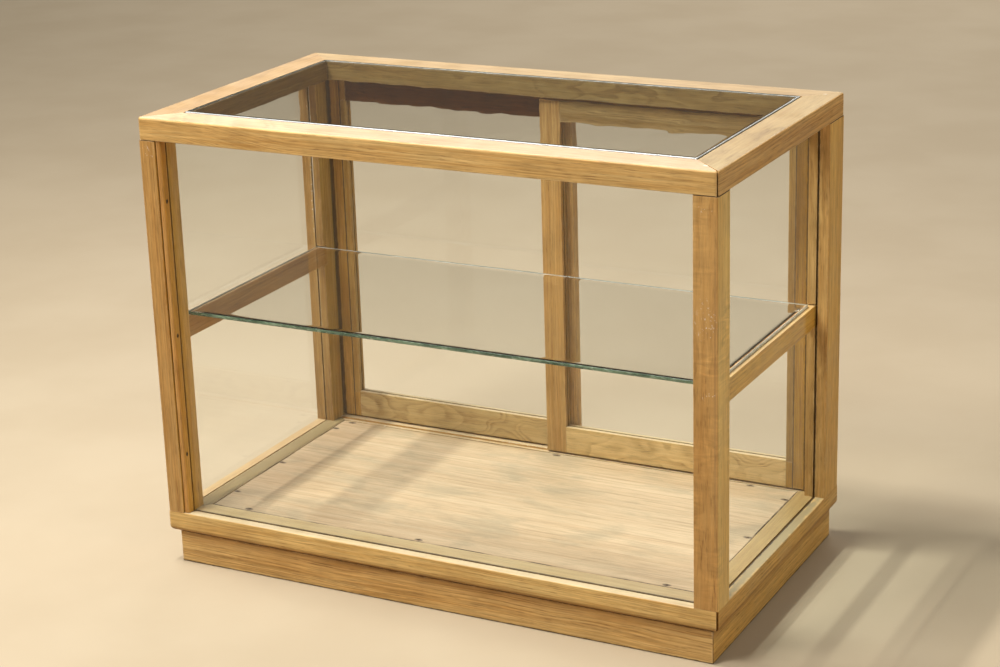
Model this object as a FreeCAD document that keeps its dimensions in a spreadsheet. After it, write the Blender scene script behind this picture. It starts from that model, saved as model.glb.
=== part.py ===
import FreeCAD, Part
import Sketcher
import os
import math

# Glass display case: a mitred base rim on a plinth, four grooved posts, a mitred
# top frame, fixed panes on three sides and on top, a loose glass shelf, and two
# framed glass doors that slide past each other along the back.
# Frame: origin on the floor at the plan centre, +X right, +Y to the back, +Z up.

doc = FreeCAD.newDocument("display_case")
sheet = doc.addObject("Spreadsheet::Sheet", "Dimensions")


class Size:
    """A length with its expression text, so that arithmetic keeps both."""

    def __init__(self, text, value):
        self.text = text
        self.value = float(value)

    def pair(self, other, op, flip=False):
        o = as_size(other)
        a, b = (o, self) if flip else (self, o)
        value = {"+": a.value + b.value, "-": a.value - b.value, "*": a.value * b.value}.get(op)
        if op == "/":
            value = a.value / b.value
        return Size("(%s %s %s)" % (a.text, op, b.text), value)

    def __add__(self, o):
        return self.pair(o, "+")

    def __radd__(self, o):
        return self.pair(o, "+", True)

    def __sub__(self, o):
        return self.pair(o, "-")

    def __rsub__(self, o):
        return self.pair(o, "-", True)

    def __mul__(self, o):
        return self.pair(o, "*")

    def __rmul__(self, o):
        return self.pair(o, "*", True)

    def __truediv__(self, o):
        return self.pair(o, "/")

    def __neg__(self):
        return Size("(0 - %s)" % self.text, -self.value)


def as_size(v):
    return v if isinstance(v, Size) else Size("%.6g" % v, v)


TABLE = [
    ("case_width", 910), ("case_depth", 497),
    ("plinth_height", 50), ("plinth_thick", 18),
    ("plinth_in_left", 16), ("plinth_in_right", 9), ("plinth_in_front", 5), ("plinth_in_back", 9),
    ("plinth_round", 1.2), ("block_side", 34), ("block_height", 44),
    ("rim_height", 33), ("rim_face", 48), ("rim_ledge", 14), ("rim_round_low", 9), ("rim_round_top", 1.6),
    ("board_thick", 9), ("board_gap", 1.0), ("board_round", 0.8),
    ("nail_head_r", 2.3), ("nail_head_thick", 1.0), ("nail_shank_r", 1.1), ("nail_long", 22), ("nail_sunk", 0.4), ("nail_in", 6.5),
    ("post_height", 588), ("front_post_wide", 36), ("front_post_deep", 42), ("back_post_wide", 34), ("back_post_deep", 60),
    ("post_round", 2.6), ("post_ease", 1.0), ("tenon_side", 18), ("tenon_long", 16), ("tenon_play", 0.15),
    ("top_height", 34), ("top_face", 48), ("top_ledge", 8), ("top_rebate", 4), ("top_round", 3.6), ("top_corner", 6), ("top_ease", 1.0),
    ("mitre_gap", 0.3), ("mitre_open_top", 1.4), ("mitre_open_rim", 2.4), ("mitre_open_plinth", 0.7), ("post_slit", 0.5),
    ("pane_thick", 3), ("pane_play", 0.7), ("groove_wide", 4), ("groove_deep", 6),
    ("front_groove_in", 16.5), ("side_groove_in", 18.5),
    ("top_glass_thick", 5.2), ("top_glass_gap", 2.5), ("glass_ease", 0.7),
    ("bead_rebate", 9), ("bead_slit", 1.3), ("bead_sunk", 2.2), ("bead_round", 4.5), ("bead_end", 0.4),
    ("brad_head_r", 1.7), ("brad_head_thick", 1.2), ("brad_shank_r", 0.9), ("brad_long", 15), ("brad_sunk", 1.0),
    ("shelf_under", 391), ("shelf_thick", 5), ("shelf_half", 427), ("shelf_front", -199), ("shelf_back", 176),
    ("rail_thick", 13), ("rail_tall", 34), ("rail_housing", 8), ("rail_play", 0.3), ("housing_spare", 2), ("rail_ease", 0.8),
    ("door_front", 202), ("door_pitch", 20), ("door_thick", 17), ("door_side_gap", 0.5), ("door_overlap", 46),
    ("door_stile", 35), ("door_top_rail", 34), ("door_bottom_rail", 44), ("door_above_sill", 3.5), ("door_below_head", 5.5),
    ("door_tenon", 12), ("door_ease", 0.8),
    ("tongue_thick", 6), ("tongue_tall", 13), ("runner_tall", 6.7), ("tongue_in", 5.5),
    ("track_wide", 7), ("sill_track_deep", 3.5), ("head_track_deep", 12.5),
    ("door_pane_in", 7), ("door_groove_in", 6.5), ("door_bead", 11), ("door_bead_run", 2), ("door_bead_play", 0.2),
    ("pull_wide", 14), ("pull_tall", 64), ("pull_deep", 5), ("pull_round", 6.6), ("pull_centre", 380),
]
D = {}
for row, (alias, value) in enumerate(TABLE, 1):
    sheet.set("A%d" % row, alias)
    sheet.set("B%d" % row, "%g" % value)
    sheet.setAlias("B%d" % row, alias)
    D[alias] = Size("Dimensions.%s" % alias, value)
doc.recompute()


class Names:
    def __getattr__(self, key):
        return D[key]


d = Names()

W2 = d.case_width / 2
D2 = d.case_depth / 2
RIM_TOP = d.plinth_height + d.rim_height
HEAD = RIM_TOP + d.post_height
CASE_TOP = HEAD + d.top_height
nodes = {}


# ---------------------------------------------------------------- helpers
def bind(obj, prop, size):
    obj.setExpression(prop, as_size(size).text)


def keep(label, obj):
    obj.Label = label
    nodes[label] = obj
    return obj


def plane(body, role):
    for f in body.Origin.OriginFeatures:
        if f.Role == role:
            return f
    raise RuntimeError("no plane " + role)


def new_sketch(body, name, level=None):
    sk = body.newObject("Sketcher::SketchObject", name)
    sk.AttachmentSupport = [(plane(body, "XY_Plane"), "")]
    sk.MapMode = "FlatFace"
    if level is not None:
        bind(sk, "AttachmentOffset.Base.z", level)
    return sk


def polygon(sk, pts):
    """Closed outline; every corner is tied to the origin by its two distances."""
    pts = [(as_size(x), as_size(y)) for x, y in pts]
    first = sk.GeometryCount
    n = len(pts)
    for i in range(n):
        a, b = pts[i], pts[(i + 1) % n]
        sk.addGeometry(Part.LineSegment(FreeCAD.Vector(a[0].value, a[1].value, 0),
                                        FreeCAD.Vector(b[0].value, b[1].value, 0)), False)
    for i in range(n):
        sk.addConstraint(Sketcher.Constraint("Coincident", first + i, 2, first + (i + 1) % n, 1))
    for i in range(n):
        for kind, size in (("DistanceX", pts[i][0]), ("DistanceY", pts[i][1])):
            if size.value >= 0:
                k = sk.addConstraint(Sketcher.Constraint(kind, -1, 1, first + i, 1, size.value))
                sk.setExpression("Constraints[%d]" % k, size.text)
            else:
                k = sk.addConstraint(Sketcher.Constraint(kind, first + i, 1, -1, 1, -size.value))
                sk.setExpression("Constraints[%d]" % k, (-size).text)


def rect(x0, y0, x1, y1):
    return [(x0, y0), (x1, y0), (x1, y1), (x0, y1)]


def new_body(name, base, turn=0.0):
    body = doc.addObject("PartDesign::Body", name)
    body.Placement = FreeCAD.Placement(FreeCAD.Vector(0, 0, 0), FreeCAD.Rotation(FreeCAD.Vector(0, 0, 1), turn))
    for axis, size in zip("xyz", base):
        bind(body, "Placement.Base.%s" % axis, size)
    return body


def pad(body, name, outlines, length, level=None, down=False):
    sk = new_sketch(body, name + "_outline", level)
    for pts in outlines:
        polygon(sk, pts)
    f = body.newObject("PartDesign::Pad", name)
    f.Profile = sk
    bind(f, "Length", length)
    f.Reversed = down
    doc.recompute()
    return f


def pocket(body, name, outlines, depth, level=None, up=False):
    """Cuts down from its level, or up from it."""
    before = body.Shape.Volume
    sk = new_sketch(body, name + "_outline", level)
    for pts in outlines:
        polygon(sk, pts)
    f = body.newObject("PartDesign::Pocket", name)
    f.Profile = sk
    bind(f, "Length", depth)
    f.Reversed = up
    doc.recompute()
    if not body.Shape.Volume < before - 1:
        raise RuntimeError("%s of %s cuts nothing" % (name, body.Name))
    return f


def round_edges(body, name, test, radius):
    """Rounds the straight edges whose middle point and direction pass the test."""
    base = body.Tip
    picked = []
    for i, e in enumerate(base.Shape.Edges, 1):
        if e.Curve.TypeId != "Part::GeomLine":
            continue
        a, b = e.Vertexes[0].Point, e.Vertexes[-1].Point
        mid = (a + b) * 0.5
        run = b - a
        if run.Length > 1e-6 and test(mid, run * (1.0 / run.Length), run.Length):
            picked.append("Edge%d" % i)
    if not picked:
        raise RuntimeError("%s of %s finds no edge" % (name, body.Name))
    f = body.newObject("PartDesign::Fillet", name)
    f.Base = (base, picked)
    bind(f, "Radius", radius)
    doc.recompute()
    return f


def near(a, b, tol=0.02):
    return abs(a - as_size(b).value) < tol


def box(name, x0, y0, z0, x1, y1, z1):
    b = doc.addObject("Part::Box", name)
    lo = [as_size(v) for v in (x0, y0, z0)]
    hi = [as_size(v) for v in (x1, y1, z1)]
    for prop, a, c in zip(("Length", "Width", "Height"), lo, hi):
        bind(b, prop, c - a)
    for axis, a in zip("xyz", lo):
        bind(b, "Placement.Base.%s" % axis, a)
    return b


def eased_box(name, x0, y0, z0, x1, y1, z1, radius):
    """A block with all its edges rounded a little."""
    b = box(name + "_block", x0, y0, z0, x1, y1, z1)
    doc.recompute()
    f = doc.addObject("Part::Fillet", name)
    f.Base = b
    f.Edges = [(i, radius.value, radius.value) for i in range(1, 13)]
    doc.recompute()
    return f


def rounded(name, base, test, radius):
    """A copy of a block with the edges that pass the test rounded."""
    doc.recompute()
    f = doc.addObject("Part::Fillet", name)
    f.Base = base
    f.Edges = [(i, radius.value, radius.value) for i, e in enumerate(base.Shape.Edges, 1) if test(e)]
    doc.recompute()
    return f


def cut(name, base, tool):
    c = doc.addObject("Part::Cut", name)
    c.Base = base
    c.Tool = tool
    return c


# ---------------------------------------------------------------- mitred rails
def mitred(name, length, width, height, base, turn, gap_low, gap_high):
    """A rail along its own X with its outer face on y = 0 and mitred ends."""
    body = new_body(name, base, turn)
    half = length / 2
    inner = half - width - 0.05
    pad(body, "Blank", [[(gap_low - half, 0), (half - gap_high, 0), (inner, width), (-inner, width)]], height)
    return body


def along_x(z=None, y=None):
    def test(mid, run, length):
        return abs(run.x) > 0.999 and (z is None or near(mid.z, z)) and (y is None or near(mid.y, y))
    return test


# plinth: four mitred boards standing on the floor
pl_x = d.case_width - d.plinth_in_left - d.plinth_in_right
pl_y = d.case_depth - d.plinth_in_front - d.plinth_in_back
pl_cx = (d.plinth_in_left - d.plinth_in_right) / 2
pl_cy = (d.plinth_in_front - d.plinth_in_back) / 2
for label, length, bx, by, turn, lo, hi in (
        ("plinth_front", pl_x, pl_cx, d.plinth_in_front - D2, 0, d.mitre_gap, d.mitre_open_plinth),
        ("plinth_right", pl_y, W2 - d.plinth_in_right, pl_cy, 90, d.mitre_open_plinth, d.mitre_gap),
        ("plinth_back", pl_x, pl_cx, D2 - d.plinth_in_back, 180, d.mitre_gap, d.mitre_gap),
        ("plinth_left", pl_y, d.plinth_in_left - W2, pl_cy, 270, d.mitre_gap, d.mitre_gap)):
    b = mitred(label, length, d.plinth_thick, d.plinth_height, (bx, by, 0), turn, lo, hi)
    round_edges(b, "FootEdge", along_x(z=0, y=0), d.plinth_round)
    keep(label, b)

# glue blocks in the inner corners of the plinth, under the rim
x_lo = d.plinth_in_left - W2 + d.plinth_thick
x_hi = W2 - d.plinth_in_right - d.plinth_thick
y_lo = d.plinth_in_front - D2 + d.plinth_thick
y_hi = D2 - d.plinth_in_back - d.plinth_thick
blocks = []
for tag, bx, by in (("fl", x_lo, y_lo), ("fr", x_hi - d.block_side, y_lo),
                    ("bl", x_lo, y_hi - d.block_side), ("br", x_hi - d.block_side, y_hi - d.block_side)):
    blocks.append(box("glue_block_" + tag, bx, by, d.plinth_height - d.block_height,
                      bx + d.block_side, by + d.block_side, d.plinth_height))
group = doc.addObject("Part::Compound", "glue_blocks")
group.Links = blocks
keep("glue_blocks", group)

# nails round the edge of the floor board, driven into the ledge of the rim
board_x = W2 - d.rim_face - d.board_gap
board_y = D2 - d.rim_face - d.board_gap
nail_spots = [(-343, -1, "y"), (-44, -1, "y"), (356, -1, "y"), (-387, 1, "y"), (-2, 1, "y"), (331, 1, "y"),
              (161, 1, "x"), (5, 1, "x"), (-85, 1, "x"), (160, -1, "x"), (-8, -1, "x"), (-140, -1, "x")]
nails = []
for i, (run, side, across) in enumerate(nail_spots, 1):
    if across == "y":
        nx, ny = as_size(run), (board_y - d.nail_in) * side
    else:
        nx, ny = (board_x - d.nail_in) * side, as_size(run)
    top = RIM_TOP - d.nail_sunk
    head = doc.addObject("Part::Cylinder", "nail_head_%d" % i)
    shank = doc.addObject("Part::Cylinder", "nail_shank_%d" % i)
    bind(head, "Radius", d.nail_head_r)
    bind(head, "Height", d.nail_head_thick)
    bind(shank, "Radius", d.nail_shank_r)
    bind(shank, "Height", d.nail_long)
    for o, z in ((head, top - d.nail_head_thick), (shank, top - d.nail_head_thick - d.nail_long)):
        bind(o, "Placement.Base.x", nx)
        bind(o, "Placement.Base.y", ny)
        bind(o, "Placement.Base.z", z)
    nail = doc.addObject("Part::Fuse", "nail_%d" % i)
    nail.Base, nail.Tool = head, shank
    nails.append(nail)
floor_nails = doc.addObject("Part::Compound", "floor_nails")
floor_nails.Links = nails
keep("floor_nails", floor_nails)
sinks = []
for i, nail in enumerate(nails, 1):
    c = doc.addObject("Part::Cylinder", "nail_sink_%d" % i)
    bind(c, "Radius", d.nail_head_r)
    bind(c, "Height", d.nail_sunk + 1)
    for axis in "xy":
        c.setExpression("Placement.Base.%s" % axis, "nail_head_%d.Placement.Base.%s" % (i, axis))
    bind(c, "Placement.Base.z", RIM_TOP - d.nail_sunk)
    sinks.append(c)
board_holes = doc.addObject("Part::Compound", "board_holes")
board_holes.Links = nails + sinks
doc.recompute()

# base rim
rim_w = d.rim_face + d.rim_ledge
fx, fy = W2 - d.front_post_wide / 2, d.front_post_deep / 2
bx_, by_ = W2 - d.back_post_wide / 2, d.back_post_deep / 2
mort = d.tenon_side / 2 + d.tenon_play


def mortise(cx, cy):
    return rect(cx - mort, cy - mort, cx + mort, cy + mort)


CORNERS = {
    "front": [(-fx, fy), (fx, fy)],
    "back": [(-bx_, by_), (bx_, by_)],
    "right": [(fy - D2, W2 - fx), (D2 - by_, W2 - bx_)],
    "left": [(by_ - D2, W2 - bx_), (D2 - fy, W2 - fx)],
}
PLACES = {"front": (0, -D2, 0), "right": (W2, 0, 90), "back": (0, D2, 180), "left": (-W2, 0, 270)}
front_track = D2 - d.door_front - d.tongue_in - d.tongue_thick / 2
rear_track = front_track - d.door_pitch


def frame_rail(prefix, side, width, height, level, opened):
    """One side of a mitred frame; its joint at the front right corner has opened."""
    px, py, turn = PLACES[side]
    length = d.case_width if side in ("front", "back") else d.case_depth
    low = opened if side == "right" else d.mitre_gap
    high = opened if side == "front" else d.mitre_gap
    return mitred("%s_%s_blank" % (prefix, side), length, width, height, (px, py, level), turn, low, high), length / 2 + 5


def groove_in(side):
    return d.front_groove_in if side == "front" else d.side_groove_in


def tracks(side):
    """The two door tracks in a back rail, or the end of the front one in a side rail."""
    run = W2 - d.back_post_wide
    half = d.track_wide / 2
    if side == "back":
        return [rect(-run, t - half, run, t + half) for t in (rear_track, front_track)]
    mid = D2 - front_track if side == "right" else front_track - D2
    return [rect(mid - half, d.back_post_wide, mid + half, d.back_post_wide + 10)]


for side in ("front", "back", "left", "right"):
    b, far = frame_rail("rim", side, rim_w, d.rim_height, d.plinth_height, d.mitre_open_rim)
    round_edges(b, "LowEdge", along_x(z=0, y=0), d.rim_round_low)
    round_edges(b, "TopEdge", along_x(z=d.rim_height, y=0), d.rim_round_top)
    pocket(b, "BoardRebate", [rect(-far, d.rim_face, far, rim_w + 5)], d.board_thick, d.rim_height)
    if side != "front":
        pocket(b, "SillTracks", tracks(side), d.sill_track_deep, d.rim_height)
    if side != "back":
        g = groove_in(side)
        pocket(b, "PaneGroove", [rect(-far, g - d.groove_wide / 2, far, g + d.groove_wide / 2)], d.groove_deep, d.rim_height)
    pocket(b, "Mortises", [mortise(cx, cy) for cx, cy in CORNERS[side]], d.tenon_long + 0.5, d.rim_height)
    keep("rim_" + side, cut("rim_%s" % side, b, floor_nails))

# floor board, flush with the rim
board = eased_box("floor_board_panel", -board_x, -board_y, RIM_TOP - d.board_thick, board_x, board_y, RIM_TOP, d.board_round)
keep("floor_board", cut("floor_board", board, board_holes))

# top frame
top_w = d.top_face + d.top_ledge
top_block = box("top_block", -W2, -D2, HEAD, W2, D2, CASE_TOP)
top_outline = rounded("top_outline", top_block, lambda e: e.BoundBox.ZLength > 1, d.top_corner)
top_shape = rounded("top_shape", top_outline, lambda e: e.BoundBox.ZMin > CASE_TOP.value - 0.01, d.top_round)
for side in ("front", "back", "left", "right"):
    b, far = frame_rail("top_rail", side, top_w, d.top_height, HEAD, d.mitre_open_top)
    round_edges(b, "LowEdge", along_x(z=0, y=0), d.top_ease)
    round_edges(b, "InnerEdge", along_x(z=0, y=top_w), d.top_ease)
    pocket(b, "GlassRebate", [rect(-far, d.top_face, far, top_w + 5)], d.top_rebate, d.top_height)
    if side != "front":
        pocket(b, "HeadTracks", tracks(side), d.head_track_deep, 0, up=True)
    if side != "back":
        g = groove_in(side)
        pocket(b, "PaneGroove", [rect(-far, g - d.groove_wide / 2, far, g + d.groove_wide / 2)], d.groove_deep, 0, up=True)
    pocket(b, "Mortises", [mortise(cx, cy) for cx, cy in CORNERS[side]], d.tenon_long + 0.5, 0, up=True)
    rail = doc.addObject("Part::Common", "top_rail_%s" % side)
    rail.Base, rail.Tool = b, top_shape
    keep("top_rail_" + side, rail)

# ---------------------------------------------------------------- posts
rail_top = d.shelf_under
rail_low = d.shelf_under - d.rail_tall
rail_out = W2 - d.side_groove_in - d.groove_wide / 2 - 0.5
rail_in = rail_out - d.rail_thick


def vertical_at(points):
    spots = [(as_size(x).value, as_size(y).value) for x, y in points]

    def test(mid, run, length):
        return abs(run.z) > 0.999 and length > 100 and any(abs(mid.x - x) < 0.02 and abs(mid.y - y) < 0.02 for x, y in spots)
    return test


def mirror(pts, sx):
    return [(as_size(x) * sx, y) for x, y in pts]


def post(label, sx, front):
    """One corner post; sx is +1 on the right and -1 on the left."""
    wide = d.front_post_wide if front else d.back_post_wide
    deep = d.front_post_deep if front else d.back_post_deep
    xi, xo = W2 - wide, W2
    g0 = W2 - d.side_groove_in - d.groove_wide / 2
    g1 = W2 - d.side_groove_in + d.groove_wide / 2
    if front:
        yo, yi = -D2, deep - D2
        c0 = d.front_groove_in - d.groove_wide / 2 - D2
        c1 = d.front_groove_in + d.groove_wide / 2 - D2
        side_groove = [(g1, yi), (g1, yi - d.groove_deep), (g0, yi - d.groove_deep), (g0, yi)]
        if sx > 0:
            inner = [(xi, yi), (xi, c1), (xi + d.groove_deep, c1), (xi + d.groove_deep, c0), (xi, c0)]
            start = [(xi, yo)]
        else:
            inner = [(xi, yi), (xi, c1), (xi + d.bead_rebate, c1)]
            start = [(xi + d.bead_rebate, yo)]
        outline = start + [(xo, yo), (xo, yi)] + side_groove + inner
        cy = d.front_post_deep / 2 - D2
        house = rect(rail_in - d.rail_play / 2, yi - d.rail_housing, g0 + 0.5, yi + 2)
    else:
        yo, yi = D2, D2 - deep
        side_groove = [(g0, yi), (g0, yi + d.groove_deep), (g1, yi + d.groove_deep), (g1, yi)]
        outline = [(xi, yi)] + side_groove + [(xo, yi), (xo, yo), (xi, yo)]
        cy = D2 - d.back_post_deep / 2
        house = rect(xi - 2, yi - 2, g0 + 0.5, yi + d.rail_housing)
    body = new_body(label + "_stick", (0, 0, RIM_TOP))
    tall = d.post_height - d.post_slit
    pad(body, "Stick", [mirror(outline, sx)], tall)
    round_edges(body, "OuterEdge", vertical_at([(xo * sx, yo)]), d.post_round)
    eased = [(xo * sx, yi)] + [(p[0] * sx, p[1]) for p in (start if front else [(xi, yi), (xi, yo)])]
    round_edges(body, "EasedEdges", vertical_at(eased), d.post_ease)
    pocket(body, "RailHousing", [mirror(house, sx)], rail_top + d.housing_spare - rail_low, rail_top + d.housing_spare - RIM_TOP)
    cx = (W2 - wide / 2) * sx
    t = d.tenon_side / 2
    sq = rect(cx - t, cy - t, cx + t, cy + t)
    pad(body, "TopTenon", [sq], d.tenon_long, tall)
    pad(body, "LowTenon", [sq], d.tenon_long, 0, down=True)
    return body


keep("post_front_right", post("post_front_right", 1, True))
keep("post_back_right", post("post_back_right", 1, False))
keep("post_back_left", post("post_back_left", -1, False))
front_left = post("post_front_left", -1, True)

# the loose strip that closes the front pane's rebate on the left front post
bead_l = d.front_post_wide - d.bead_rebate - W2
bx0, bx1 = (-(W2 - d.front_post_wide)) - d.bead_rebate + d.bead_slit, -(W2 - d.front_post_wide) - 0.2
by0 = d.bead_sunk - D2
by1 = d.front_groove_in - d.pane_thick / 2 - D2 - 0.2
bead = new_body("front_glass_bead_strip", (0, 0, RIM_TOP + d.bead_end))
pad(bead, "Strip", [rect(bx0, by0, bx1, by1)], d.post_height - 2 * d.bead_end)
round_edges(bead, "FrontEdge", vertical_at([(bx1, by0)]), d.bead_round)
round_edges(bead, "SlitEdge", vertical_at([(bx0, by0)]), d.bead_slit)

# three brads through the strip into the post
brads, brad_sinks = [], []
brad_y = (by0 + by1) / 2 + 0.9
for i, z in enumerate((579, 370, 179), 1):
    head = doc.addObject("Part::Cylinder", "brad_head_%d" % i)
    shank = doc.addObject("Part::Cylinder", "brad_shank_%d" % i)
    sink = doc.addObject("Part::Cylinder", "brad_sink_%d" % i)
    for o, r, length, x in ((head, d.brad_head_r, d.brad_head_thick, bx1 - d.brad_sunk),
                            (shank, d.brad_shank_r, d.brad_long, bx1 - d.brad_sunk - d.brad_head_thick),
                            (sink, d.brad_head_r, d.brad_sunk + 1, bx1 + 1)):
        o.Placement = FreeCAD.Placement(FreeCAD.Vector(0, 0, 0), FreeCAD.Rotation(FreeCAD.Vector(0, 1, 0), -90))
        bind(o, "Radius", r)
        bind(o, "Height", length)
        bind(o, "Placement.Base.x", x)
        bind(o, "Placement.Base.y", brad_y)
        bind(o, "Placement.Base.z", z)
    brad = doc.addObject("Part::Fuse", "brad_%d" % i)
    brad.Base, brad.Tool = head, shank
    brads.append(brad)
    brad_sinks.append(sink)
bead_nails = doc.addObject("Part::Compound", "bead_nails")
bead_nails.Links = brads
keep("bead_nails", bead_nails)
bead_holes = doc.addObject("Part::Compound", "bead_holes")
bead_holes.Links = brads + brad_sinks
doc.recompute()
keep("front_glass_bead", cut("front_glass_bead", bead, bead_holes))
keep("post_front_left", cut("post_front_left", front_left, bead_nails))

# ---------------------------------------------------------------- fixed glass
pane_low = RIM_TOP - d.groove_deep + d.pane_play
pane_high = HEAD + d.groove_deep - d.pane_play
fy0 = d.front_groove_in - d.pane_thick / 2 - D2
keep("front_glass", box("front_glass", -(W2 - d.front_post_wide) - d.bead_rebate + d.pane_play, fy0, pane_low,
                        W2 - d.front_post_wide + d.groove_deep - d.pane_play, fy0 + d.pane_thick, pane_high))
sy0 = d.front_post_deep - D2 - d.groove_deep + d.pane_play
sy1 = D2 - d.back_post_deep + d.groove_deep - d.pane_play
sx0 = W2 - d.side_groove_in - d.pane_thick / 2
keep("right_glass", box("right_glass", sx0, sy0, pane_low, sx0 + d.pane_thick, sy1, pane_high))
keep("left_glass", box("left_glass", -sx0 - d.pane_thick, sy0, pane_low, -sx0, sy1, pane_high))
tx = W2 - d.top_face - d.top_glass_gap
ty = D2 - d.top_face - d.top_glass_gap
tz = CASE_TOP - d.top_rebate
keep("top_glass", eased_box("top_glass", -tx, -ty, tz, tx, ty, tz + d.top_glass_thick, d.glass_ease))

# shelf rails and the loose glass shelf
ry0 = d.front_post_deep - D2 - d.rail_housing + d.rail_play
ry1 = D2 - d.back_post_deep + d.rail_housing - d.rail_play
keep("shelf_rail_right", eased_box("shelf_rail_right", rail_in, ry0, rail_low, rail_out, ry1, rail_top, d.rail_ease))
keep("shelf_rail_left", eased_box("shelf_rail_left", -rail_out, ry0, rail_low, -rail_in, ry1, rail_top, d.rail_ease))
keep("glass_shelf", eased_box("glass_shelf", -d.shelf_half, d.shelf_front, d.shelf_under,
                              d.shelf_half, d.shelf_back, d.shelf_under + d.shelf_thick, d.glass_ease))

# ---------------------------------------------------------------- sliding doors
door_low = RIM_TOP + d.door_above_sill
door_high = HEAD - d.door_below_head
door_tall = door_high - door_low
clear = W2 - d.back_post_wide - d.door_side_gap
sight_low = d.door_bottom_rail
sight_high = door_tall - d.door_top_rail


def door(tag, sx, y0):
    """One door; sx is +1 for the door whose outer stile is on the right."""
    y1 = y0 + d.door_thick
    ga, gb = y0 + d.door_groove_in, y0 + d.door_groove_in + d.groove_wide
    ta, tb = y0 + d.tongue_in, y0 + d.tongue_in + d.tongue_thick
    outer_far = clear
    outer_near = clear - d.door_stile
    inner_far = -d.door_overlap / 2
    inner_near = inner_far + d.door_stile

    def place(pts):
        return mirror(pts, sx)

    def finish_stick(body, xs):
        def test(mid, run, length):
            return abs(run.z) > 0.999 and length > 100 and any(near(mid.x, x * sx) for x in xs) and (near(mid.y, y0) or near(mid.y, y1))
        round_edges(body, "EasedEdges", test, d.door_ease)

    def tongues(body, xa, xb):
        pad(body, "HeadTongue", [place(rect(xa, ta, xb, tb))], d.tongue_tall, door_tall)
        pad(body, "Runner", [place(rect(xa, ta, xb, tb))], d.runner_tall, 0, down=True)

    def rail_mortises(body, x_face, inward):
        x_end = x_face + (d.door_tenon + 0.5) * inward
        lo, hi = (x_face, x_end) if inward > 0 else (x_end, x_face)
        r = [place(rect(lo, ta - 0.1, hi, tb + 0.1))]
        pocket(body, "LowMortise", r, d.door_bottom_rail - 12, d.door_bottom_rail - 6)
        pocket(body, "TopMortise", r, d.door_top_rail - 12, door_tall - 6)

    # inner stile, next to the other door
    body = new_body(tag + "_stile_inner_stick", (0, 0, door_low))
    pad(body, "Stick", [place([(inner_far, y0), (inner_near, y0), (inner_near, ga), (inner_near - d.groove_deep, ga),
                               (inner_near - d.groove_deep, gb), (inner_near, gb), (inner_near, y1), (inner_far, y1)])], door_tall)
    finish_stick(body, (inner_far, inner_near))
    rail_mortises(body, inner_near, -1)
    tongues(body, inner_far, inner_near)
    keep(tag + "_stile_inner", body)

    # outer stile, with the rebate for its glazing bead and a finger recess behind
    body = new_body(tag + "_stile_outer_stick", (0, 0, door_low))
    pad(body, "Stick", [place([(outer_near, y0), (outer_far, y0), (outer_far, y1), (outer_near, y1), (outer_near, gb),
                               (outer_near + d.groove_deep, gb), (outer_near + d.groove_deep, ga), (outer_near, ga)])], door_tall)
    finish_stick(body, (outer_near, outer_far))
    rail_mortises(body, outer_near, 1)
    run = sight_high - sight_low + 2 * d.door_bead_run
    pocket(body, "BeadRebate", [place(rect(outer_near - 2, y0 - 2, outer_near + d.door_bead, gb))], run, sight_high + d.door_bead_run)
    mid = (outer_near + outer_far) / 2
    zc = d.pull_centre - door_low
    pocket(body, "FingerPull", [place(rect(mid - d.pull_wide / 2, y1 - d.pull_deep, mid + d.pull_wide / 2, y1 + 2))],
           d.pull_tall, zc + d.pull_tall / 2)

    def pull_corner(m, run_dir, length):
        return (abs(run_dir.y) > 0.999 and near(length, d.pull_deep)
                and (near(m.z, zc - d.pull_tall / 2) or near(m.z, zc + d.pull_tall / 2)))
    round_edges(body, "PullEnds", pull_corner, d.pull_round)
    tongues(body, outer_near, outer_far)
    keep(tag + "_stile_outer", body)

    # rails between the stiles, tenoned into them
    for end, tall, level in (("bottom", d.door_bottom_rail, door_low), ("top", d.door_top_rail, door_high - d.door_top_rail)):
        body = new_body("%s_%s_rail_stick" % (tag, end), (0, 0, level))
        pad(body, "Stick", [place(rect(inner_near, y0, outer_near, y1))], tall)

        def long_edges(m, run_dir, length):
            return abs(run_dir.x) > 0.999 and (near(m.y, y0) or near(m.y, y1))
        round_edges(body, "EasedEdges", long_edges, d.door_ease)
        slot = [place(rect(inner_near - 1, ga, outer_near + 1, gb))]
        if end == "bottom":
            pocket(body, "PaneGroove", slot, d.groove_deep, tall)
            pad(body, "Runner", [place(rect(inner_near, ta, outer_near, tb))], d.runner_tall, 0, down=True)
        else:
            pocket(body, "PaneGroove", slot, d.groove_deep, 0, up=True)
            pad(body, "HeadTongue", [place(rect(inner_near, ta, outer_near, tb))], d.tongue_tall, tall)
        ends = [place(rect(inner_near - d.door_tenon, ta, inner_near, tb)), place(rect(outer_near, ta, outer_near + d.door_tenon, tb))]
        low = as_size(6)
        if end == "bottom":
            pad(body, "Tenons", ends, tall - 12.4, low + 0.2)
        else:
            pad(body, "Tenons", ends, tall - 12.4, low + 0.2)
        keep("%s_%s_rail" % (tag, end), body)

    # pane and the bead that keeps it in the outer stile
    pa = y0 + d.door_pane_in
    xa, xb = inner_near - d.groove_deep + d.pane_play, outer_near + d.groove_deep - d.pane_play
    x0, x1 = (xa, xb) if sx > 0 else (-xb, -xa)
    keep(tag + "_glass", box(tag + "_glass", x0, pa, door_low + sight_low - d.groove_deep + d.pane_play,
                             x1, pa + d.pane_thick, door_low + sight_high + d.groove_deep - d.pane_play))
    body = new_body(tag + "_bead_strip", (0, 0, door_low + sight_low - d.door_bead_run + d.door_bead_play))
    pad(body, "Strip", [place(rect(outer_near, y0 + 0.3, outer_near + d.door_bead - d.door_bead_play, pa - 0.2))], run - 2 * d.door_bead_play)

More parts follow.
